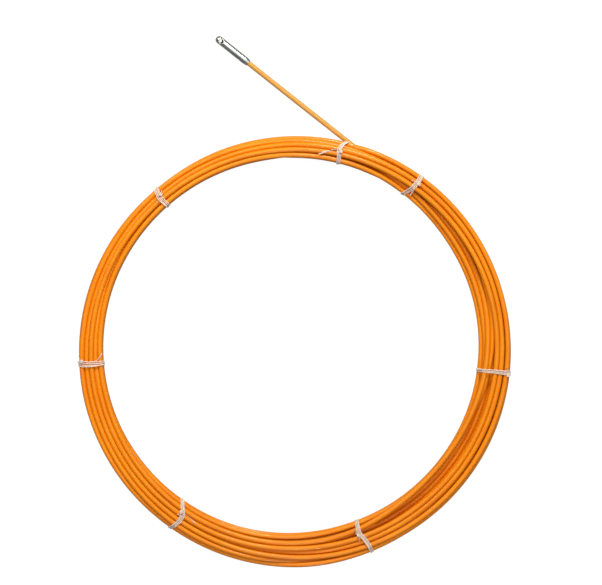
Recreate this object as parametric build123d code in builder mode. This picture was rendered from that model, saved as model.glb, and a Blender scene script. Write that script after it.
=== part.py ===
from build123d import *

import math
import os

# Tied hank of plastic-covered fish tape with a metal pulling head on its free end.
# Millimetres, +Z up. The hank lies flat on the floor at Z = 0 and rests on its thread ties.
# The origin is on the floor, at the centre of the whole object's footprint. Angles are in
# degrees, from +X towards +Y, round the hank's own centre.

# ---- driving dimensions ----
TAPE_R = 2.0                # jacket of the tape
CORE_R = 0.75               # steel strand inside the jacket

HANK_R = 170.0              # outside of the turns
INNER_R = 147.1             # inside of the turns
INNER_SHIFT = 5.5           # the inside circle sits off centre by this much
THICK_ANGLE = 125.0         # towards here the hank is narrowest and tallest
HANK_LOW = 11.0             # height where the turns spread out
HANK_HIGH = 14.5            # height where the turns are heaped up
EDGE_R = 5.0                # round of the bundle's edges
THREAD = 1.0                # thickness of the wound thread of a tie

# name, angle round the hank, slant of the band from the radial line, width of the band
TIES = (
    ("top_tie", 75.8, -20.5, 4.0),
    ("upper_right_tie", 54.9, -12.0, 3.6),
    ("right_tie", 354.2, -1.0, 3.8),
    ("lower_right_tie", 290.0, 5.5, 3.6),
    ("lower_left_tie", 234.3, 16.0, 3.8),
    ("left_tie", 183.5, -1.2, 4.2),
    ("upper_left_tie", 130.8, -8.0, 4.4),
)

LEAVE_ANGLE = 76.5          # where the free end leaves the hank, at the top tie
LEAVE_R = 170.9             # distance of its centre line from the hank's centre there
LEAVE_Z = 6.2               # height of its centre line there
FREE_HEADING = 141.5        # heading of the free end
FREE_LENGTH = 98.0          # from the tie to the ferrule's mouth
ROOT_LENGTH = 24.0          # part of it that stays with the hank
ROOT_BURIED = 9.0           # stretch of the root that runs back into the turns
LEVEL_LENGTH = 30.0         # last stretch, level on its way into the ferrule
FLEX_GAP = 0.3              # running gap at the flexing point
ARC_SHARE = 0.45            # share of the shorter run that a bend's arc takes

HEAD_R = 2.95               # ferrule and eye
FERRULE_LENGTH = 7.9
MOUTH_R = 2.5               # crimped mouth of the ferrule
MOUTH_TAPER = 3.0
GRIP = 4.0                  # depth of tape inside the ferrule
EYE_LENGTH = 24.4
SEAM_CHAMFER = 0.4          # makes the fine groove between ferrule and eye
HOLE_R = 1.7                # the eye's hole
HOLE_SETBACK = 4.1          # centre of the hole from the tip
HOLE_LEAN = 22.0            # the hole leans back from upright by this much
HOLE_LIP = 0.35
STUD_R = 1.5                # M3 grub screw
STUD_FIT = 0.05             # clearance round it
STUD_IN_FERRULE = 3.0
STUD_IN_EYE = 5.0
STUD_CHAMFER = 0.3
KEY_ACROSS = 1.5            # hexagon socket in the stud
KEY_DEPTH = 1.2
SOCKET_SPARE = 0.2          # room past each end of the stud

SLEEVE_R = 2.5              # crimped sleeve on the tape's hidden inner end
SLEEVE_LENGTH = 11.0
SLEEVE_WALL_END = 2.0       # solid metal past the end of the tape
SLEEVE_AT_R = 161.5
SLEEVE_ANGLE = 103.0
SLEEVE_ROUND = 0.4

# ---- places worked out from them ----
heading = Vector(math.cos(math.radians(FREE_HEADING)), math.sin(math.radians(FREE_HEADING)), 0)
leave_dx = LEAVE_R * math.cos(math.radians(LEAVE_ANGLE))
leave_dy = LEAVE_R * math.sin(math.radians(LEAVE_ANGLE))
tip_dy = leave_dy + (FREE_LENGTH + FERRULE_LENGTH + EYE_LENGTH - HEAD_R) * heading.Y + HEAD_R

hank_centre = Vector(0, (HANK_R - tip_dy) / 2, 0)
leave_point = hank_centre + Vector(leave_dx, leave_dy, HEAD_R)
mouth_point = leave_point + heading * FREE_LENGTH

# the free end's own upright plane: x runs along it from the ferrule's mouth, y is up
head_plane = Plane(
    origin=mouth_point, x_dir=heading, z_dir=Vector(heading.Y, -heading.X, 0)
)
head_axis = Axis(mouth_point, heading)

drop = LEAVE_Z - HEAD_R
slope = drop / (FREE_LENGTH - LEVEL_LENGTH)
flex_x = ROOT_LENGTH - FREE_LENGTH
flex_point = head_plane.from_local_coords(Vector(flex_x, drop - ROOT_LENGTH * slope, 0))
slope_dir = (heading - Vector(0, 0, slope)).normalized()
eye_tip_x = FERRULE_LENGTH + EYE_LENGTH


def round_the_hank(radius, angle, z=0.0):
    """A point at a radius and an angle round the hank's centre."""
    a = math.radians(angle)
    return hank_centre + Vector(radius * math.cos(a), radius * math.sin(a), z)


def bundle(skin):
    """The outer shape of the tied turns, grown by skin on every side."""
    inner_centre = round_the_hank(INNER_SHIFT, THICK_ANGLE)
    rise = (HANK_HIGH - HANK_LOW) / (HANK_R + INNER_R)
    lean = round_the_hank(1, THICK_ANGLE) - hank_centre
    top = hank_centre + Vector(0, 0, THREAD + (HANK_LOW + HANK_HIGH) / 2 + skin)
    with BuildPart() as body:
        with BuildSketch(Plane.XY.offset(THREAD - skin)):
            with Locations(hank_centre):
                Circle(HANK_R + skin)
            with Locations(inner_centre):
                Circle(INNER_R - skin, mode=Mode.SUBTRACT)
        extrude(amount=2 * HANK_HIGH)
        split(
            bisect_by=Plane(origin=top, z_dir=Vector(0, 0, 1) - lean * rise),
            keep=Keep.BOTTOM,
        )
        fillet(body.edges(), radius=EDGE_R + skin)
    return body.part


os.makedirs("parts", exist_ok=True)

# ---- crimped sleeve on the inner end, tucked under the turns ----
sleeve_start = round_the_hank(SLEEVE_AT_R, SLEEVE_ANGLE, THREAD + SLEEVE_R)
sleeve_heading = round_the_hank(1, SLEEVE_ANGLE + 90) - hank_centre
sleeve_mouth = sleeve_start + sleeve_heading * (SLEEVE_LENGTH / 2)
with BuildPart() as inner_end_sleeve:
    with BuildSketch(Plane(origin=sleeve_start, z_dir=sleeve_heading)):
        Circle(SLEEVE_R)
    extrude(amount=SLEEVE_LENGTH / 2, both=True)
    fillet(inner_end_sleeve.edges().filter_by(GeomType.CIRCLE), radius=SLEEVE_ROUND)
    with BuildSketch(Plane(origin=sleeve_mouth, z_dir=-sleeve_heading)):
        Circle(TAPE_R)
    extrude(amount=SLEEVE_LENGTH - SLEEVE_WALL_END, mode=Mode.SUBTRACT)
inner_end_sleeve.part.label = "inner_end_sleeve"
export_step(inner_end_sleeve.part, "parts/inner_end_sleeve.step")

# ---- the tied turns of tape, as the outer shape of their bundle ----
with BuildPart() as tape_hank:
    add(bundle(0))
    add(inner_end_sleeve.part, mode=Mode.SUBTRACT)
tape_hank.part.label = "tape_hank"
export_step(tape_hank.part, "parts/tape_hank.step")

# ---- root of the free end: comes out of the turns under the top tie ----
root_start = flex_point - slope_dir * (ROOT_LENGTH + ROOT_BURIED)
with BuildPart() as free_end_root:
    with BuildSketch(Plane(origin=root_start, z_dir=slope_dir)):
        Circle(TAPE_R)
    extrude(amount=ROOT_LENGTH + ROOT_BURIED)
    with Locations(flex_point):
        Sphere(TAPE_R + FLEX_GAP, mode=Mode.SUBTRACT)
    add(tape_hank.part, mode=Mode.SUBTRACT)
free_end_root.part.label = "free_end_root"
export_step(free_end_root.part, "parts/free_end_root.step")

# ---- thread ties, one closed band each, pulled tight round the bundle ----
wrapped = bundle(THREAD)
for name, angle, slant, width in TIES:
    with BuildPart() as tie:
        add(wrapped)
        middle = round_the_hank((HANK_R + INNER_R) / 2, angle, HANK_HIGH / 2)
        with Locations(Location(middle, (0, 0, angle + slant))):
            Box(4 * HANK_HIGH, width, 4 * HANK_HIGH, mode=Mode.INTERSECT)
        add(tape_hank.part, mode=Mode.SUBTRACT)
        if name == "top_tie":
            add(free_end_root.part, mode=Mode.SUBTRACT)
    tie.part.label = name
    export_step(tie.part, f"parts/{name}.step")

# ---- free end: jacket and steel core, down to the floor and level into the ferrule ----
route = [(flex_x, drop - ROOT_LENGTH * slope), (-LEVEL_LENGTH, 0), (GRIP, 0)]
half_turn = math.atan(slope) / 2
shorter_run = min(-LEVEL_LENGTH - flex_x, LEVEL_LENGTH + GRIP)
route_radii = [ARC_SHARE * shorter_run / math.tan(half_turn)]
print("radii of the free end's route, mm:", [round(r) for r in route_radii])

with BuildPart() as free_end_core:
    with BuildLine(head_plane) as core_line:
        FilletPolyline(*route, radius=route_radii[0])
    with BuildSketch(Plane(origin=flex_point, z_dir=slope_dir)):
        Circle(CORE_R)
    sweep(path=core_line.line)
free_end_core.part.label = "free_end_core"
export_step(free_end_core.part, "parts/free_end_core.step")

flex_plane = Plane(origin=flex_point, x_dir=slope_dir, z_dir=head_plane.z_dir)
with BuildPart() as free_end_jacket:
    with BuildLine(head_plane) as jacket_line:
        FilletPolyline(*route, radius=route_radii[0])
    with BuildSketch(Plane(origin=flex_point, z_dir=slope_dir)):
        Circle(TAPE_R)
    sweep(path=jacket_line.line)
    with BuildSketch(flex_plane):
        with BuildLine():
            Line((-TAPE_R, 0), (0, 0))
            Line((0, 0), (0, TAPE_R))
            RadiusArc((0, TAPE_R), (-TAPE_R, 0), -TAPE_R)
        make_face()
    revolve(axis=Axis(flex_point, slope_dir))
    add(free_end_core.part, mode=Mode.SUBTRACT)
free_end_jacket.part.label = "free_end_jacket"
export_step(free_end_jacket.part, "parts/free_end_jacket.step")

# ---- ferrule: crimped on the end of the tape, tapped in front for the stud ----
stud_hole_x = FERRULE_LENGTH - STUD_IN_FERRULE - SOCKET_SPARE
stud_hole_r = STUD_R + STUD_FIT
with BuildPart() as crimp_ferrule:
    with BuildSketch(head_plane):
        with BuildLine():
            Polyline(
                (0, TAPE_R),
                (0, MOUTH_R),
                (MOUTH_TAPER, HEAD_R),
                (FERRULE_LENGTH - SEAM_CHAMFER, HEAD_R),
                (FERRULE_LENGTH, HEAD_R - SEAM_CHAMFER),
                (FERRULE_LENGTH, stud_hole_r),
                (stud_hole_x, stud_hole_r),
                (stud_hole_x, 0),
                (GRIP, 0),
                (GRIP, TAPE_R),
                close=True,
            )
        make_face()
    revolve(axis=head_axis)
crimp_ferrule.part.label = "crimp_ferrule"
export_step(crimp_ferrule.part, "parts/crimp_ferrule.step")

# ---- stud: a grub screw that joins ferrule and eye ----
stud_back = Plane(
    origin=mouth_point + heading * (FERRULE_LENGTH - STUD_IN_FERRULE), z_dir=heading
)
with BuildPart() as thread_stud:
    with BuildSketch(stud_back):
        Circle(STUD_R)
    extrude(amount=STUD_IN_FERRULE + STUD_IN_EYE)
    chamfer(thread_stud.edges().filter_by(GeomType.CIRCLE), length=STUD_CHAMFER)
    with BuildSketch(stud_back):
        RegularPolygon(KEY_ACROSS / 2, 6, major_radius=False)
    extrude(amount=KEY_DEPTH, mode=Mode.SUBTRACT)
thread_stud.part.label = "thread_stud"
export_step(thread_stud.part, "parts/thread_stud.step")

# ---- pulling eye: a round bar with a domed tip and a leaning cross hole ----
eye_socket_x = FERRULE_LENGTH + STUD_IN_EYE + SOCKET_SPARE
hole_centre = mouth_point + heading * (eye_tip_x - HOLE_SETBACK)
lean_angle = math.radians(HOLE_LEAN)
hole_dir = Vector(0, 0, math.cos(lean_angle)) - heading * math.sin(lean_angle)
with BuildPart() as pulling_eye:
    with BuildSketch(head_plane):
        with BuildLine():
            Polyline(
                (eye_tip_x, 0),
                (eye_socket_x, 0),
                (eye_socket_x, stud_hole_r),
                (FERRULE_LENGTH, stud_hole_r),
                (FERRULE_LENGTH, HEAD_R - SEAM_CHAMFER),
                (FERRULE_LENGTH + SEAM_CHAMFER, HEAD_R),
                (eye_tip_x - HEAD_R, HEAD_R),
            )
            RadiusArc((eye_tip_x - HEAD_R, HEAD_R), (eye_tip_x, 0), HEAD_R)
        make_face()
    revolve(axis=head_axis)
    with BuildSketch(Plane(origin=hole_centre, z_dir=hole_dir)):
        Circle(HOLE_R)
    extrude(amount=2 * HEAD_R, both=True, mode=Mode.SUBTRACT)
    mouth_edges = pulling_eye.edges(Select.LAST)
    fillet(mouth_edges, radius=HOLE_LIP)
pulling_eye.part.label = "pulling_eye"
export_step(pulling_eye.part, "parts/pulling_eye.step")

print("hank centre", hank_centre)
print("flexing point", flex_point)
print("ferrule mouth", mouth_point, "heading", heading)
print("eye hole", hole_centre, hole_dir)
print("seam", mouth_point + heading * FERRULE_LENGTH)
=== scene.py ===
import math

import bpy
import numpy as np
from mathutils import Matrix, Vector


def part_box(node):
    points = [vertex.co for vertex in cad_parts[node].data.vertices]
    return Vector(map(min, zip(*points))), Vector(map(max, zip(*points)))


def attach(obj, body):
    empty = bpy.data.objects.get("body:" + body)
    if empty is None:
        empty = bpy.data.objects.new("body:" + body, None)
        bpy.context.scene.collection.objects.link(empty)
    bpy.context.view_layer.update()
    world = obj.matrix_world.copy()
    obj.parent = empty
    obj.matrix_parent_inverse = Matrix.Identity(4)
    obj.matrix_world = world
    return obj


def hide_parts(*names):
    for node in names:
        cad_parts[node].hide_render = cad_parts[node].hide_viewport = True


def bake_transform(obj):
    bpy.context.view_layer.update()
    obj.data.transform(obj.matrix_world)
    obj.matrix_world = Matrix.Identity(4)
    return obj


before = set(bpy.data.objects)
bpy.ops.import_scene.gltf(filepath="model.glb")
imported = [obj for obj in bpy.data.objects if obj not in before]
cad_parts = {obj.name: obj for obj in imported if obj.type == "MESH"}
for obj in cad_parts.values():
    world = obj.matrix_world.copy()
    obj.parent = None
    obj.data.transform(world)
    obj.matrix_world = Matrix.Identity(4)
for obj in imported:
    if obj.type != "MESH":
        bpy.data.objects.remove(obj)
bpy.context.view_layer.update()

# ---- camera ----
# It looks straight down on the hank from well above, so that every turn is seen from the
# same side, and takes in the whole floor round the object.
VIEW_WIDTH = 0.4736
VIEW_AIM = Vector((0.00464, 0.00706, 0.007))
CAMERA_HEIGHT = 1.8
camera = bpy.data.objects.new("camera", bpy.data.cameras.new("camera"))
camera.data.sensor_width = 36.0
camera.data.lens = 36.0 * CAMERA_HEIGHT / VIEW_WIDTH
camera.data.clip_start = 0.01
camera.data.clip_end = 20.0
camera.location = VIEW_AIM + Vector((0, 0, CAMERA_HEIGHT))
bpy.context.scene.collection.objects.link(camera)
bpy.context.scene.camera = camera

# ---- tape: how its turns lie ----
# One length of tape, a steel strand in an orange nylon jacket 4 mm across, is thrown by hand
# into fifteen turns. They ride over each other, sink between the turns below and are held by
# the ties. Sizes are in millimetres from the hank's centre, angles in degrees anticlockwise.
MM = 0.001
TAPE_R = 2.0
TURNS = 15
STATIONS = 72  # points along each turn
LEAVING = 76.5  # angle where the free end leaves, and where each turn is counted from
HANK_R = 170.0
TIE_UNDER = 1.0  # the ties pass below the lowest turns and lift them
LAYER = 3.45  # height of one row of turns that lie between those below
hank_low, hank_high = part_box("tape_hank")
HANK_CENTRE = Vector(((hank_low.x + hank_high.x) / 2, (hank_low.y + hank_high.y) / 2, 0))

# the hidden turns go from place to place in a loose stack: how far across the hank from its
# inner edge, and which row up
PLACES = {
    "a0": (0.08, 0), "a1": (0.25, 0), "a2": (0.42, 0), "a3": (0.58, 0), "a4": (0.75, 0),
    "a5": (0.92, 0), "b0": (0.0, 1), "b1": (0.25, 1), "b2": (0.5, 1), "b3": (0.75, 1),
    "b4": (1.0, 1), "c0": (0.12, 2), "c1": (0.37, 2), "c2": (0.62, 2), "c3": (0.9, 2),
}
ORDER = "a2 b1 b2 b3 b4 a4 a2 a0 c0 c2 a5 a3 a1 b0 c1 c3".split()

# the turns on top, each as a list of places: angle past the leaving point, depth from the
# hank's outside in tape widths, and the row that the tape lies in there
ON_TOP = {
    14: [(0, 2.8, 2.6), (13, 2.9, 2.7), (34, 3.05, 2.8), (54, 3.0, 2.6), (74, 2.8, 2.3),
         (94, 2.6, 2.1), (104, 2.55, 2), (124, 2.45, 2), (144, 2.3, 2), (164, 2.2, 2),
         (184, 2.1, 2.1), (208, 1.8, 2.2), (223, 1.6, 2.2), (243, 1.3, 2.2), (258, 1.05, 2.1),
         (273, 0.8, 2), (283, 0.65, 2), (303, 0.5, 1.9), (333, 0.5, 1.8), (345, 0.6, 1.5),
         (360, 0.45, 1.1)],
    13: [(0, 2.7, 1.6), (30, 3.1, 1.6), (60, 3.4, 1.8), (85, 3.5, 2), (94, 3.5, 2),
         (124, 3.45, 2.1), (144, 3.35, 2.1), (164, 3.3, 2.1), (184, 3.5, 2), (194, 3.65, 2),
         (208, 3.8, 2.1), (223, 3.75, 2.2), (243, 3.6, 2.2), (258, 3.35, 2.1), (268, 3.1, 2),
         (278, 2.9, 2.1), (287, 2.75, 2.6), (296, 2.65, 3), (318, 2.6, 3), (343, 2.7, 3),
         (360, 2.8, 2.6)],
    12: [(0, 3.3, 0.8), (60, 4.0, 0.6), (120, 4.6, 1), (140, 5.2, 1.1), (164, 5.3, 1.1),
         (184, 5.6, 0.9), (208, 6.6, 0.9), (225, 6.8, 1), (245, 6.8, 1), (258, 6.4, 1),
         (268, 5.7, 1.1), (276, 4.9, 1.2), (285, 4.0, 1.4), (294, 3.1, 1.8), (303, 2.4, 2),
         (318, 2.1, 2), (345, 2.1, 2), (360, 2.6, 1.6)],
    9: [(0, 2.05, 2.4), (13, 2.2, 2.2), (24, 2.25, 2.1), (44, 2.3, 2.1), (64, 2.1, 2.1),
        (84, 1.9, 2.1), (104, 1.7, 2), (124, 1.4, 2), (144, 1.25, 2), (164, 1.25, 1.9),
        (184, 1.4, 1.4), (200, 1.1, 0.8), (223, 0.8, 0.2), (285, 0.6, 0), (360, 0.6, 0)],
    8: [(0, 3.9, 0.2), (30, 3.7, 0.5), (60, 3.5, 0.8), (100, 3.2, 1.0), (160, 3.0, 1.0),
        (184, 2.95, 1.4), (198, 2.95, 1.9), (208, 2.95, 2.1), (223, 2.85, 2.2), (243, 2.6, 2.2),
        (263, 2.3, 2.1), (283, 1.85, 2.1), (294, 1.65, 2.5), (303, 1.6, 3), (333, 1.7, 3),
        (345, 1.9, 3), (360, 2.05, 2.4)],
    7: [(0, 4.2, 1.3), (30, 4.2, 1.7), (60, 4.3, 2), (120, 4.45, 2), (144, 4.4, 2),
        (164, 4.4, 2), (184, 4.6, 1.9), (204, 4.8, 2), (213, 5.0, 2.3), (218, 5.7, 2.4),
        (224, 6.6, 2.3), (232, 7.0, 2), (245, 7.0, 2), (254, 6.6, 2), (263, 5.9, 2),
        (273, 5.0, 2.4), (283, 4.1, 2.2), (293, 3.7, 1.3), (303, 3.6, 0.9), (333, 3.6, 0.8),
        (345, 3.9, 0.3), (360, 3.9, 0.2)],
    6: [(0, 4.1, 0), (120, 4.4, 0), (164, 5.4, 0), (194, 6.2, 0), (215, 6.8, 0), (245, 6.8, 0),
        (268, 6.2, 0), (284, 5.8, 0), (300, 5.5, 0), (333, 4.6, 0.2), (345, 4.4, 0.7),
        (360, 4.2, 1.3)],
    4: [(0, 0.45, 1), (20, 0.4, 1.2), (60, 0.6, 1.0), (90, 0.5, 0.5), (120, 0.6, 0),
        (200, 1.5, 0), (223, 2.0, 0), (285, 1.6, 0), (360, 1.3, 0)],
    3: [(0, 1.2, 1.6), (60, 1.15, 1.8), (84, 1.0, 1.7), (105, 0.7, 1.2), (135, 0.5, 0.9),
        (195, 0.6, 0.7), (225, 0.9, 0.6), (255, 0.65, 0.6), (300, 0.5, 0.9), (360, 0.45, 1)],
    2: [(0, 1.6, 1), (180, 1.6, 1), (240, 2.2, 1), (300, 1.6, 1), (360, 1.2, 1.6)],
    1: [(0, 2.7, 1), (100, 2.6, 1), (164, 3.9, 1), (194, 4.0, 0.9), (225, 3.5, 0.8),
        (268, 3.3, 1), (290, 2.6, 1), (333, 2.45, 1), (360, 1.6, 1)],
    0: [(0, 2.6, 0), (120, 3.5, 0), (200, 4.8, 0), (225, 5.7, 0), (250, 5.7, 0),
        (268, 5.4, 0.1), (280, 5.0, 0.4), (293, 4.7, 0.8), (310, 4.5, 1), (333, 3.7, 1.1),
        (345, 3.3, 1.1), (360, 2.7, 1)],
}

# radius and height where the inner end leaves its sleeve, and where the free end leaves
SLEEVE_STATION = 5
SLEEVE_ANGLE = 101.9
SLEEVE_AT = (161.5, 3.5)
LEAVES_AT = (168.3, 6.6)

# radius of the hank's inside and outside by angle: it is thinnest on the upper left, and the
# ties draw both edges in
INSIDE = [(0, 144.4), (30, 145.4), (40, 146.4), (50, 148.6), (60, 150.8), (70, 151.6),
          (90, 152.2), (160, 152.0), (180, 151.2), (200, 150.0), (220, 148.0), (240, 146.0),
          (260, 143.6), (270, 142.4), (290, 141.6), (315, 141.8), (330, 142.4), (345, 143.4)]
OUTSIDE = [(0, 170.2), (60, 169.8), (90, 169.4), (110, 169.0), (120, 168.4), (130, 168.0),
           (140, 168.6), (150, 169.2), (170, 170.0), (245, 170.2), (265, 170.0), (275, 169.6),
           (285, 168.8), (300, 168.0), (320, 168.8), (335, 169.4), (350, 170.0)]


def edge_at(angle, edge):
    """Radius of the hank's inside or outside at an angle."""
    at, radius = np.array(edge).T
    return np.interp(angle, at, radius, period=360)


def thrown_turns(angles):
    """Radius and height of the tape at every station, before it settles."""
    radius = np.zeros(len(angles))
    height = np.zeros(len(angles))
    share = np.linspace(0, 1, STATIONS + 1)
    for turn in range(TURNS):
        part = slice(turn * STATIONS, (turn + 1) * STATIONS + 1)
        if turn in ON_TOP:
            at, depth, row = np.array(ON_TOP[turn], float).T
            radius[part] = HANK_R - 2 * TAPE_R * np.interp(share * 360, at, depth)
            rows_up = np.interp(share * 360, at, row)
        else:
            (across_a, row_a), (across_b, row_b) = PLACES[ORDER[turn]], PLACES[ORDER[turn + 1]]
            eased = share * share * (3 - 2 * share)
            lowest = edge_at(angles[part], INSIDE) + TAPE_R
            highest = edge_at(angles[part], OUTSIDE) - TAPE_R
            radius[part] = lowest + (highest - lowest) * (across_a + (across_b - across_a) * eased)
            rows_up = row_a + (row_b - row_a) * eased
        height[part] = TIE_UNDER + TAPE_R + rows_up * LAYER
    return radius, height


ROUNDS = 900
LATE_ROUND = 540  # from here on the turns are held more weakly, so that they come to rest
HIDDEN_HOLD = 0.02
TOP_HOLD = 0.12
SINK = 0.02
STIFFNESS = 0.35
PUSH = 0.35


def settled_turns(angles):
    """Lets the turns sink, smooths them and pushes them apart until they only touch."""
    want_radius, want_height = thrown_turns(angles)
    radius, height = want_radius.copy(), want_height.copy()
    hold = np.full(len(angles), HIDDEN_HOLD)
    for turn in ON_TOP:
        hold[turn * STATIONS:(turn + 1) * STATIONS] = TOP_HOLD
    lowest = edge_at(angles, INSIDE) + TAPE_R
    highest = edge_at(angles, OUTSIDE) - TAPE_R
    real = (np.arange(len(angles)) >= SLEEVE_STATION)[:-1].reshape(TURNS, STATIONS)
    pairs = real[:, None] & real[None] & ~np.eye(TURNS, dtype=bool)[:, :, None]
    mouth = slice(SLEEVE_STATION, SLEEVE_STATION + 3)
    for done in range(ROUNDS):
        late = done > LATE_ROUND
        radius += hold * (want_radius - radius) * (0.5 if late else 1)
        height += hold * (want_height - height) * (0.3 if late else 1) - SINK
        for line in (radius, height) * 2:
            line[1:-1] += STIFFNESS * ((line[:-2] + line[2:]) / 2 - line[1:-1])
        radius[mouth], height[mouth] = SLEEVE_AT
        radius[-1], height[-1] = LEAVES_AT
        for again in range(3):
            r, z = radius[:-1].reshape(TURNS, STATIONS), height[:-1].reshape(TURNS, STATIONS)
            apart_r, apart_z = r[:, None] - r[None], z[:, None] - z[None]
            apart = np.hypot(apart_r, apart_z) + 1e-9
            push = np.where(pairs, np.clip(2 * TAPE_R - apart, 0, None), 0) * PUSH / apart
            radius[:-1] += (push * apart_r).sum(1).ravel()
            height[:-1] += (push * apart_z).sum(1).ravel()
            radius = np.clip(radius, lowest, highest)
            height = np.maximum(height, TIE_UNDER + TAPE_R)
    return radius, height


angles = LEAVING + np.arange(TURNS * STATIONS + 1) * 360 / STATIONS
radii, heights = settled_turns(angles)


def on_hank(radius, angle, height):
    """A point in metres, from a radius and height in millimetres and an angle in degrees."""
    a = math.radians(angle)
    return HANK_CENTRE + Vector((radius * math.cos(a), radius * math.sin(a), height)) * MM


# ---- tape: one smooth line from the sleeve to the pulling head ----
# The tape starts in the sleeve under the turns, winds round, leaves by the top tie and runs
# down to the floor, level into the ferrule. Its jacket is a plain round tube.
def smooth_line(name, points, steps):
    """A curve object of one NURBS spline with these control points."""
    curve = bpy.data.curves.new(name, "CURVE")
    curve.dimensions = "3D"
    spline = curve.splines.new("NURBS")
    spline.points.add(len(points) - 1)
    for place, point in zip(spline.points, points):
        place.co = (*point, 1.0)
    spline.order_u = 3
    spline.use_endpoint_u = True
    spline.resolution_u = steps
    line = bpy.data.objects.new(name, curve)
    bpy.context.scene.collection.objects.link(line)
    return line


def line_points(line):
    """The points that a curve object's own line goes through."""
    mesh = bpy.data.meshes.new_from_object(line.evaluated_get(bpy.context.evaluated_depsgraph_get()))
    points = [v.co.copy() for v in mesh.vertices]
    bpy.data.meshes.remove(mesh)
    return points


def line_length(points):
    """The length of a line of points."""
    return sum((b - a).length for a, b in zip(points, points[1:]))


# the free end comes down from the top turns to the floor, and its last 30 mm lie level
FREE_END = [
    (0.04691, 0.12140, 0.00660),
    (0.03990, 0.12698, 0.00620),
    (0.02111, 0.14192, 0.00505),
    (0.00400, 0.15552, 0.00390),
    (-0.01332, 0.16931, 0.00295),
    (-0.02600, 0.17939, 0.00295),
    (-0.03680, 0.18798, 0.00295),
    (-0.03985, 0.19041, 0.00295),
]
# a smooth line runs inside its points on a circle by this share
GROWN = 1 / math.cos(math.pi / STATIONS)
coil = [on_hank(SLEEVE_AT[0], SLEEVE_ANGLE, SLEEVE_AT[1])]
for station in range(SLEEVE_STATION + 1, len(angles) - 1):
    coil.append(on_hank(radii[station] * GROWN, angles[station], heights[station]))
# the free end is split into many short lengths, over which a bend in it would be spread
SHARES = 5
free_end = [Vector(start).lerp(Vector(end), share / SHARES)
            for start, end in zip(FREE_END, FREE_END[1:]) for share in range(SHARES)]
tape_line = smooth_line("tape_line", coil + free_end + [Vector(FREE_END[-1])], 3)
tape_path = line_points(tape_line)
tape_length = line_length(tape_path)


class Wire:
    """A socket in a node tree: sums on it add Math nodes, and node() adds any other node."""

    def __init__(self, tree, socket=None):
        self.tree = tree
        self.socket = socket

    def node(self, kind, settings=None, inputs=None, output=0):
        made = self.tree.nodes.new(kind)
        for name, value in (settings or {}).items():
            if name == "stops":
                ramp = made.color_ramp.elements
                while len(ramp) < len(value):
                    ramp.new(1.0)
                for stop, (place, colour) in zip(ramp, value):
                    stop.position = place
                    stop.color = (*colour, 1)
            else:
                setattr(made, name, value)
        for name, value in (inputs or {}).items():
            if isinstance(value, Wire):
                self.tree.links.new(value.socket, made.inputs[name])
            else:
                made.inputs[name].default_value = value
        return Wire(self.tree, made.outputs[output] if len(made.outputs) else None)

    def maths(self, operation, first, second):
        return self.node("ShaderNodeMath", {"operation": operation}, {0: first, 1: second})

    def __add__(self, other):
        return self.maths("ADD", self, other)

    def __sub__(self, other):
        return self.maths("SUBTRACT", self, other)

    def __mul__(self, other):
        return self.maths("MULTIPLY", self, other)

    def __truediv__(self, other):
        return self.maths("DIVIDE", self, other)

    def __rsub__(self, other):
        return self.maths("SUBTRACT", other, self)

    __radd__ = __add__
    __rmul__ = __mul__


def shaper(name, inputs):
    """A Geometry Nodes tree with named inputs; gives it and a Wire for each input."""
    tree = bpy.data.node_groups.new(name, "GeometryNodeTree")
    for label, kind in inputs:
        tree.interface.new_socket(label, in_out="INPUT", socket_type=kind)
    tree.interface.new_socket("Geometry", in_out="OUTPUT", socket_type="NodeSocketGeometry")
    entry = tree.nodes.new("NodeGroupInput")
    return tree, {label: Wire(tree, entry.outputs[label]) for label, kind in inputs}


def finish_shaper(shape, material):
    """Ends a tree in Realize Instances and Set Material."""
    smooth = shape.node("GeometryNodeSetShadeSmooth", None, {"Geometry": shape})
    real = shape.node("GeometryNodeRealizeInstances", None, {"Geometry": smooth})
    finished = shape.node("GeometryNodeSetMaterial", None, {"Geometry": real, "Material": material})
    shape.node("NodeGroupOutput", None, {"Geometry": finished})


def shaped(name, tree, values):
    """A plain mesh object that the tree makes with these values of its inputs."""
    piece = bpy.data.objects.new(name, bpy.data.meshes.new(name))
    bpy.context.scene.collection.objects.link(piece)
    modifier = piece.modifiers.new(name, "NODES")
    modifier.node_group = tree
    for item in tree.interface.items_tree:
        if item.in_out == "INPUT":
            modifier[item.identifier] = values[item.name]
    evaluated = piece.evaluated_get(bpy.context.evaluated_depsgraph_get())
    mesh = bpy.data.meshes.new_from_object(evaluated)
    piece.modifiers.clear()
    piece.data = mesh
    mesh.name = name
    return piece


def new_finish(name):
    """An empty material and a Wire to build its nodes with."""
    material = bpy.data.materials.new(name)
    material.use_nodes = True
    material.node_tree.nodes.clear()
    return material, Wire(material.node_tree)


def surface(build, constants, inputs):
    """Ends a material in a Principled shader with constant and changing inputs."""
    shader = build.node("ShaderNodeBsdfPrincipled", None, {**constants, **inputs})
    build.node("ShaderNodeOutputMaterial", None, {"Surface": shader})
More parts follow.
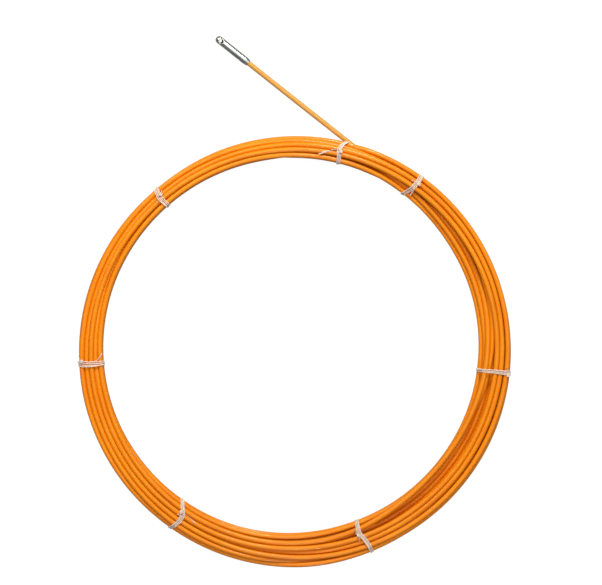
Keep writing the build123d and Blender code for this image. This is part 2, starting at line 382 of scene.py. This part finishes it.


# the jacket's colour drifts along the tape, with faint drawn lines, and the free end is given a
# paler, duller colour
FREE_LENGTH = 0.112
FREE_END_COLOUR = (0.57, 0.32, 0.08, 1)
jacket_nylon, build = new_finish("jacket_nylon")
along = build.node("ShaderNodeAttribute", {"attribute_name": "along"}, output="Fac")
around = build.node("ShaderNodeAttribute", {"attribute_name": "around"}, output="Vector")
place = build.node("ShaderNodeTexCoord", output="Object")
slow = build.node("ShaderNodeTexNoise", {"noise_dimensions": "1D"}, {
    "W": along * 3.0, "Detail": 2.0,
})
cloud = build.node("ShaderNodeTexNoise", None, {"Vector": place, "Scale": 60.0, "Detail": 3.0})
drawn = build.node("ShaderNodeTexNoise", {"noise_dimensions": "4D"}, {
    "Vector": around, "W": along * 4.0, "Scale": 2.5, "Detail": 2.0,
})
orange = build.node("ShaderNodeValToRGB", {"stops": [
    (0.30, (0.77, 0.200, 0.001)), (0.50, (0.82, 0.238, 0.002)), (0.72, (0.86, 0.280, 0.003)),
]}, {"Fac": slow * 0.5 + cloud * 0.25 + drawn * 0.25})
free_end_tint = build.node("ShaderNodeMath", {"operation": "ADD", "use_clamp": True}, {
    0: (along - (tape_length - FREE_LENGTH)) * 50.0, 1: 0.0,
})
jacket = build.node("ShaderNodeMix", {"data_type": "RGBA"}, {
    "Factor": free_end_tint * 0.75, 6: orange, 7: FREE_END_COLOUR,
}, 2)
bump = build.node("ShaderNodeBump", None, {
    "Height": drawn, "Strength": 0.25, "Distance": 0.0002,
})
surface(build, {
    "IOR": 1.45, "Specular IOR Level": 0.22, "Coat Roughness": 0.1, "Subsurface Weight": 0.15,
    "Subsurface Scale": 0.0012, "Subsurface Radius": (1.0, 0.3, 0.05),
}, {
    "Base Color": jacket, "Roughness": 0.30 + cloud * 0.12, "Normal": bump,
    "Coat Weight": 0.15 + drawn * 0.2,
})

tube_tree, wires = shaper("round_jacket", [
    ("Route", "NodeSocketObject"), ("Radius", "NodeSocketFloat"), ("Sides", "NodeSocketInt"),
    ("Jacket", "NodeSocketMaterial"),
])
build = Wire(tube_tree)
route = build.node("GeometryNodeObjectInfo", None, {"Object": wires["Route"]}, "Geometry")
length_along = build.node("GeometryNodeSplineParameter", output="Length")
route = build.node("GeometryNodeStoreNamedAttribute", {"data_type": "FLOAT", "domain": "POINT"},
                   {"Geometry": route, "Name": "along", "Value": length_along})
profile = build.node("GeometryNodeCurvePrimitiveCircle", None,
                     {"Resolution": wires["Sides"], "Radius": wires["Radius"]}, "Curve")
corner = build.node("GeometryNodeInputPosition")
unit = build.node("ShaderNodeVectorMath", {"operation": "NORMALIZE"}, {0: corner})
profile = build.node("GeometryNodeStoreNamedAttribute",
                     {"data_type": "FLOAT_VECTOR", "domain": "POINT"},
                     {"Geometry": profile, "Name": "around", "Value": unit})
tube = build.node("GeometryNodeCurveToMesh", None,
                  {"Curve": route, "Profile Curve": profile, "Fill Caps": True})
finish_shaper(tube, wires["Jacket"])

tape = shaped("tape", tube_tree, {
    "Route": tape_line, "Radius": TAPE_R * MM, "Sides": 16, "Jacket": jacket_nylon,
})
bpy.data.objects.remove(tape_line)
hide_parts("tape_hank", "free_end_root", "free_end_jacket")
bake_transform(tape)

# ---- ties ----
# Seven lengths of soft white cotton twine, three plies twisted together. Each is wound four
# times round the turns, three side by side and one back across them, knotted on top and cut
# off short.
TWINE_R = 0.38
TWINE_LAY = 0.0022  # length of one full twist of the plies
twine_cotton, build = new_finish("twine_cotton")
ply = build.node("ShaderNodeAttribute", {"attribute_name": "ply"}, output="Fac")
place = build.node("ShaderNodeTexCoord", output="Object")
fuzz = build.node("ShaderNodeTexNoise", None, {"Vector": place, "Scale": 2600.0, "Detail": 3.0})
# The twine's colour holds painted shade: darker pink in the grooves between the plies, lighter on
# their crests, and the fuzz varies its tone at random.
fuzz_and_groove_shade = build.node("ShaderNodeValToRGB", {"stops": [
    (0.15, (0.62, 0.44, 0.40)), (0.45, (0.82, 0.66, 0.62)), (0.80, (0.94, 0.84, 0.81)),
]}, {"Fac": ply * 0.6 + fuzz * 0.4})
bump = build.node("ShaderNodeBump", None, {"Height": fuzz, "Strength": 0.5, "Distance": 0.0001})
surface(build, {"Sheen Weight": 0.3}, {
    "Base Color": fuzz_and_groove_shade, "Roughness": 0.7 + fuzz * 0.25, "Normal": bump,
})

twine_tree, wires = shaper("twisted_twine", [
    ("Route", "NodeSocketObject"), ("Radius", "NodeSocketFloat"), ("Sides", "NodeSocketInt"),
    ("Lay length", "NodeSocketFloat"), ("Twine", "NodeSocketMaterial"),
])
build = Wire(twine_tree)
route = build.node("GeometryNodeObjectInfo", None, {"Object": wires["Route"]}, "Geometry")
length_along = build.node("GeometryNodeSplineParameter", output="Length")
route = build.node("GeometryNodeSetCurveTilt", None,
                   {"Curve": route, "Tilt": length_along * (2 * math.pi) / wires["Lay length"]})
profile = build.node("GeometryNodeCurvePrimitiveCircle", None,
                     {"Resolution": wires["Sides"], "Radius": wires["Radius"]}, "Curve")
PLIES = 3
PLY_SWELL = 0.18
share = build.node("GeometryNodeSplineParameter", output="Factor")
lobes = build.node("ShaderNodeMath", {"operation": "COSINE"}, {0: share * (PLIES * 2 * math.pi)})
swell = 1.0 + lobes * PLY_SWELL
corner = build.node("GeometryNodeInputPosition")
lobed = build.node("ShaderNodeVectorMath", {"operation": "SCALE"}, {0: corner, "Scale": swell})
profile = build.node("GeometryNodeSetPosition", None, {"Geometry": profile, "Position": lobed})
# ply is 1 on each ply's crest and 0 in the groove between plies; the twine's colour uses it to paint
# shade into the grooves.
profile = build.node("GeometryNodeStoreNamedAttribute", {"data_type": "FLOAT", "domain": "POINT"},
                     {"Geometry": profile, "Name": "ply", "Value": 0.5 + lobes * 0.5})
tube = build.node("GeometryNodeCurveToMesh", None,
                  {"Curve": route, "Profile Curve": profile, "Fill Caps": True})
finish_shaper(tube, wires["Twine"])


RIM_DOTS = 24
LOOSE_LIFT = 1.2 * TWINE_R  # how far a loose end's middle is above what it lies on
CROSSING_LIFT = 1.5 * TWINE_R  # how far the wrap that goes back rides over the others
LOWEST_TWINE = 1.3 * TWINE_R  # the twine's middle stays this far above the floor
LOOP_POINTS = 44
WRAPS = 4
WRAPS_OUT = 3
KNOT_POINTS = 22
KNOT_R = 0.40
KNOT_LIFT = 1.0
KNOT_START = 0.3
KNOT_SHARE = 0.92  # of a whole trefoil, so that its two ends stay apart


def turns_at(angle):
    """Radius and height of every turn where it passes an angle."""
    passes = LEAVING + (angle - LEAVING) % 360 + 360 * np.arange(TURNS)
    passes = passes[passes > angles[SLEEVE_STATION]]
    return np.interp(passes, angles, radii), np.interp(passes, angles, heights)


def top_at(radius, angle):
    """Height of the turns' upper side at a radius and an angle, or of the floor beside them."""
    turn_radii, turn_heights = turns_at(angle)
    rise = TAPE_R ** 2 - (turn_radii - radius) ** 2
    return np.max(turn_heights + np.sqrt(np.clip(rise, 0, None)), where=rise > 0, initial=0)


def hull_loop(centres, grown, count):
    """A loop of evenly spaced points where tight twine runs, round circles of one radius."""
    dots = []
    for out, up in centres:
        for a in np.arange(RIM_DOTS) * math.pi * 2 / RIM_DOTS:
            dots.append((out + grown * math.cos(a), up + grown * math.sin(a)))
    dots.sort()
    rim = []
    for row in (dots, dots[::-1]):
        side = []
        for dot in row:
            while len(side) > 1 and (side[-1][0] - side[-2][0]) * (dot[1] - side[-2][1]) <= (
                    side[-1][1] - side[-2][1]) * (dot[0] - side[-2][0]):
                side.pop()
            side.append(dot)
        rim += side[:-1]
    rim = np.array(rim + rim[:1])
    walked = np.concatenate([[0], np.cumsum(np.hypot(*np.diff(rim, axis=0).T))])
    even = np.linspace(0, walked[-1], count, endpoint=False)
    return np.stack([np.interp(even, walked, rim[:, 0]), np.interp(even, walked, rim[:, 1])], 1)


def loose_end(places, out_way, side_way):
    """Points along a loose end that lies on the turns, from its places beside the tie."""
    flats = [out_way * radius + side_way * aside for radius, aside in places]
    found = []
    for before, here, after in zip(flats[:1] + flats, flats, flats[1:] + flats[-1:]):
        near = [here.lerp(before, 0.4), here, here.lerp(after, 0.4)]
        height = max(top_at(p.length, math.degrees(math.atan2(p.y, p.x))) for p in near)
        found.append(HANK_CENTRE + (here + Vector((0, 0, height + LOOSE_LIFT))) * MM)
    return found


def knotted(top, out_way, side_way):
    """Points of a small trefoil knot just above the end of the last wrap."""
    points = []
    for step in range(KNOT_POINTS):
        t = KNOT_START + KNOT_SHARE * 2 * math.pi * step / (KNOT_POINTS - 1)
        across = KNOT_R * (2 + math.cos(3 * t))
        points.append(top + (out_way * across * math.cos(2 * t)
                             + side_way * across * math.sin(2 * t)
                             + Vector((0, 0, KNOT_LIFT + 0.45 * math.sin(3 * t)))) * MM)
    return points


# name, angle round the hank, width of its band, where the band runs on top as (radius, how far
# round from the angle), the knot's radius, and the two loose ends as more such places
TIES = [
    ("top_tie", 76.4, 3.0,
     [(171.5, -3.4), (167.0, 1.6), (162.0, 3.6), (157.0, 2.6), (151.0, 2.0)],
     160.5, [(161.8, 7.0), (158.8, 12.0), (156.5, 16.5)],
     [(161.0, 8.0), (157.5, 13.0), (154.5, 18.5)]),
    ("upper_right_tie", 54.9, 3.2, [(170.0, -2.1), (164.0, -2.5), (157.0, -1.4), (149.5, 2.3)],
     163.5, [(163.0, 0.5), (162.0, 3.0)], [(157.0, -3.0), (152.0, -3.5)]),
    ("right_tie", 354.2, 3.0, [(171.5, -0.2), (157.0, 0.3), (143.8, 0.1)],
     168.0, [(168.5, -3.0), (169.0, -4.5)], [(168.0, 2.0), (166.0, 4.0)]),
    ("lower_right_tie", 290.0, 3.0, [(170.0, 2.8), (163.0, 2.4), (155.0, 0.4), (151.5, -1.6),
     (146.0, -0.8), (141.7, 0.0)],
     152.5, [(155.0, -2.6), (157.0, -3.6)], [(150.0, -4.0), (147.0, -4.6)]),
    ("lower_left_tie", 234.3, 3.3, [(170.5, 0.8), (166.0, 2.6), (160.5, 4.0), (155.0, 3.2),
     (150.5, -0.5), (145.5, -4.2)],
     155.0, [(156.5, 1.0), (158.0, -0.5)], [(154.0, 7.0), (154.5, 11.0), (155.5, 15.5)]),
    ("left_tie", 183.5, 4.2, [(170.5, -0.6), (160.0, 0.5), (150.5, 0.2)],
     167.0, [(169.0, -3.0), (169.6, -7.0)], [(159.0, -1.0), (153.0, -4.0), (151.0, -8.0)]),
    ("upper_left_tie", 130.8, 3.7, [(168.8, -1.0), (160.0, 1.6), (151.5, 0.9)],
     162.0, [(162.5, -1.5), (164.0, -3.0)], [(160.5, 4.0), (158.5, 5.5)]),
]
for name, angle, width, runs, knot_radius, first_end, last_end in TIES:
    out_way = Vector((math.cos(math.radians(angle)), math.sin(math.radians(angle)), 0))
    side_way = Vector((-out_way.y, out_way.x, 0))
    turn_radii, turn_heights = turns_at(angle)
    loop = hull_loop(zip(turn_radii, turn_heights), TAPE_R + TWINE_R, LOOP_POINTS)
    run_radii, run_asides = np.array(runs[::-1]).T
    # the wraps start and end on top of the turns, where the knot is
    underneath = loop[:, 1] < loop[:, 1].mean()
    start = np.argmin(np.abs(loop[:, 0] - knot_radius) + 9 * underneath)
    loop = np.roll(loop, -start, axis=0)
    outwards = loop - loop.mean(0)
    outwards /= np.hypot(*outwards.T)[:, None]

    wound = []
    for step in range(WRAPS * LOOP_POINTS + 1):
        wrap = step / LOOP_POINTS
        returns = wrap > WRAPS_OUT
        spread = 0.5 - (wrap - WRAPS_OUT) if returns else wrap / WRAPS_OUT - 0.5
        radius, height = loop[step % LOOP_POINTS]
        # the band bends sideways on top of the turns only, and this fades down their sides
        on_top = min(1.0, max(0.0, (height - 4) / 5))
        if returns:
            lifted = outwards[step % LOOP_POINTS] * CROSSING_LIFT * on_top
            radius, height = (radius, height) + lifted
        straight = np.interp(radius, run_radii[[0, -1]], run_asides[[0, -1]])
        curved = np.interp(radius, run_radii, run_asides)
        aside = width * spread + straight + (curved - straight) * on_top
        height = max(height, LOWEST_TWINE)
        place = out_way * radius + side_way * aside + Vector((0, 0, height))
        wound.append(HANK_CENTRE + place * MM)
    first = loose_end(first_end, out_way, side_way)
    last = loose_end(last_end, out_way, side_way)
    knot = knotted(wound[-1], out_way, side_way)
    line = smooth_line(name + "_line", first[::-1] + wound + knot + last, 5)
    path = line_points(line)
    twine = shaped(name + "_twine", twine_tree, {
        "Route": line, "Radius": TWINE_R * MM, "Sides": 12, "Lay length": TWINE_LAY,
        "Twine": twine_cotton,
    })
    bpy.data.objects.remove(line)
    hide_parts(name)
    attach(twine, "hank")

# ---- pulling head ----
# Turned and zinc-plated steel: the ferrule crimped on the tape, the eye with its cross hole,
# and the bare stud that joins them. The sleeve on the inner end is the same plated steel.
HEAD_TURN = math.radians(-141.5)  # turns the free end's heading on to the X axis
plated_steel, build = new_finish("plated_steel")
place = build.node("ShaderNodeTexCoord", output="Object")
lengthways = build.node("ShaderNodeMapping", {"vector_type": "POINT"}, {
    "Vector": place, "Rotation": (0, 0, HEAD_TURN),
})
cut_marks = build.node("ShaderNodeSeparateXYZ", None, {"Vector": lengthways}, "X")
rings = build.node("ShaderNodeTexNoise", {"noise_dimensions": "1D"}, {
    "W": cut_marks, "Scale": 3500.0, "Detail": 2.0,
})
patches = build.node("ShaderNodeTexNoise", None, {
    "Vector": place, "Scale": 220.0, "Detail": 3.0,
})
grey = build.node("ShaderNodeValToRGB", {"stops": [
    (0.30, (0.50, 0.53, 0.55)), (0.55, (0.58, 0.60, 0.61)), (0.75, (0.66, 0.67, 0.67)),
]}, {"Fac": patches * 0.7 + rings * 0.3})
bump = build.node("ShaderNodeBump", None, {"Height": rings, "Strength": 0.2, "Distance": 0.00003})
surface(build, {"Metallic": 1.0}, {
    "Base Color": grey, "Roughness": 0.20 + patches * 0.12, "Normal": bump,
})
for name in ("crimp_ferrule", "pulling_eye", "inner_end_sleeve", "thread_stud", "free_end_core"):
    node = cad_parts[name]
    node.data.materials.clear()
    node.data.materials.append(plated_steel)

# ---- studio ----
# A plain pale floor that the hank lies on. One strong soft light stands at the far side and two
# weak ones at the near side and the left, and the surround is brightest nearly overhead.
FLOOR_SIZE = 8.0
BRIGHTEST_WAY = (0.121, 0.210, 0.970)
floor_paint, build = new_finish("floor_paint")
seen = build.node("ShaderNodeLightPath", output="Is Camera Ray")
card = build.node("ShaderNodeBsdfDiffuse", None, {"Color": (0.22, 0.22, 0.22, 1)})
paint = build.node("ShaderNodeBsdfDiffuse", None, {"Color": (0.10, 0.10, 0.10, 1)})
lit = build.node("ShaderNodeEmission", None, {"Color": (1, 1, 1, 1), "Strength": 0.96})
white = build.node("ShaderNodeAddShader", None, {0: paint, 1: lit})
mixed = build.node("ShaderNodeMixShader", None, {"Fac": seen, 1: card, 2: white})
build.node("ShaderNodeOutputMaterial", None, {"Surface": mixed})
floor = bpy.data.objects.new("floor", bpy.data.meshes.new("floor"))
corners = [(-1, -1), (1, -1), (1, 1), (-1, 1)]
floor.data.from_pydata([(x * FLOOR_SIZE, y * FLOOR_SIZE, 0) for x, y in corners], [],
                       [(0, 1, 2, 3)])
floor.data.materials.append(floor_paint)
bpy.context.scene.collection.objects.link(floor)

# name, place, size, power and colour
for name, at, size, power, tint in (
    ("far_light", (0.25, 1.05, 0.95), 0.3, 13.3, (0.93, 1.0, 0.80)),
    ("near_light", (0.05, -1.15, 0.95), 0.25, 3.2, (1.0, 1.0, 1.0)),
    ("side_light", (-0.35, 0.55, 0.60), 0.5, 3.3, (1.0, 0.88, 0.55)),
):
    lamp = bpy.data.lights.new(name, "AREA")
    lamp.shape = "SQUARE"
    lamp.size = size
    lamp.energy = power
    lamp.color = tint
    holder = bpy.data.objects.new(name, lamp)
    holder.location = at
    holder.rotation_euler = (-Vector(at)).to_track_quat("-Z", "Y").to_euler()
    bpy.context.scene.collection.objects.link(holder)
world = bpy.data.worlds.new("surround")
world.use_nodes = True
world.node_tree.nodes.clear()
build = Wire(world.node_tree)
direction = build.node("ShaderNodeTexCoord", output="Generated")
upwards = build.node("ShaderNodeVectorMath", {"operation": "DOT_PRODUCT"}, {
    0: direction, 1: BRIGHTEST_WAY,
}, "Value")
glow = build.node("ShaderNodeValToRGB", {"stops": [
    (0.0, (0.09, 0.09, 0.09)), (0.35, (0.19, 0.19, 0.19)), (0.86, (0.35, 0.35, 0.35)),
    (0.955, (1.75, 1.75, 1.75)),
]}, {"Fac": upwards})
backdrop = build.node("ShaderNodeBackground", None, {"Color": glow, "Strength": 1.0})
build.node("ShaderNodeOutputWorld", None, {"Surface": backdrop})
bpy.context.scene.world = world
bpy.context.scene.view_settings.view_transform = "Standard"
